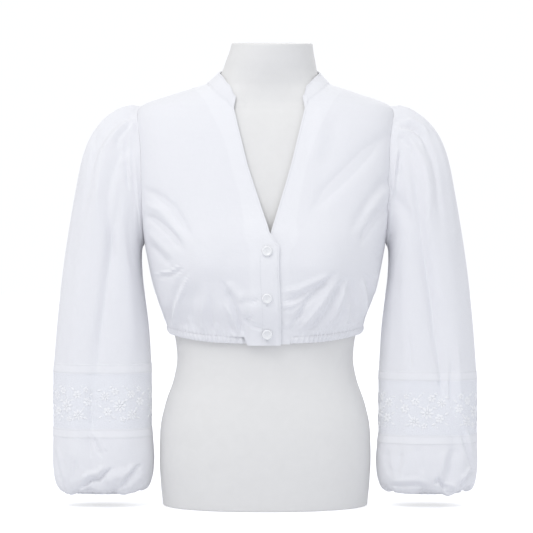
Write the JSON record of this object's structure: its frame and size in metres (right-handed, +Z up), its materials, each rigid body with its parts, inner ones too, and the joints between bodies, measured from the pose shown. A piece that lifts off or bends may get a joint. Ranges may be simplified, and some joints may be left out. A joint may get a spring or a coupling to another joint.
{
  "type": "dirndl blouse on a limbless dress form",
  "caption": "Cropped dirndl blouse with V neck, stand collar, buttoned placket, gathered elastic hem and long puffed sleeves with lace bands, standing on a limbless dress form.",
  "frame": {"origin": "middle of the dress form's flat base, on the floor", "axes": "+Z up, -Y out of the front of the blouse, +X to the viewer's right in a front view"},
  "size_m": [0.6232, 0.2527, 0.6819],
  "materials": {
    "blouse_cloth": "white woven cotton, slightly crisp",
    "lace_net": "sheer white net with floral embroidery",
    "button": "pearly white",
    "form_shell": "smooth, light warm grey"
  },
  "bodies": {
    "root": {"dress_form": "form_shell", "front_right": "blouse_cloth", "front_left": "blouse_cloth", "back": "blouse_cloth", "facing_right": "blouse_cloth", "facing_left": "blouse_cloth", "stand_collar": "blouse_cloth", "hem_casing": "blouse_cloth", "sleeve_right": "blouse_cloth", "sleeve_left": "blouse_cloth", "lace_band_right": "lace_net", "lace_band_left": "lace_net", "lower_sleeve_right": "blouse_cloth", "lower_sleeve_left": "blouse_cloth", "cuff_right": "blouse_cloth", "cuff_left": "blouse_cloth", "button_1": "button", "button_2": "button", "button_3": "button"}
  },
  "joints": []
}
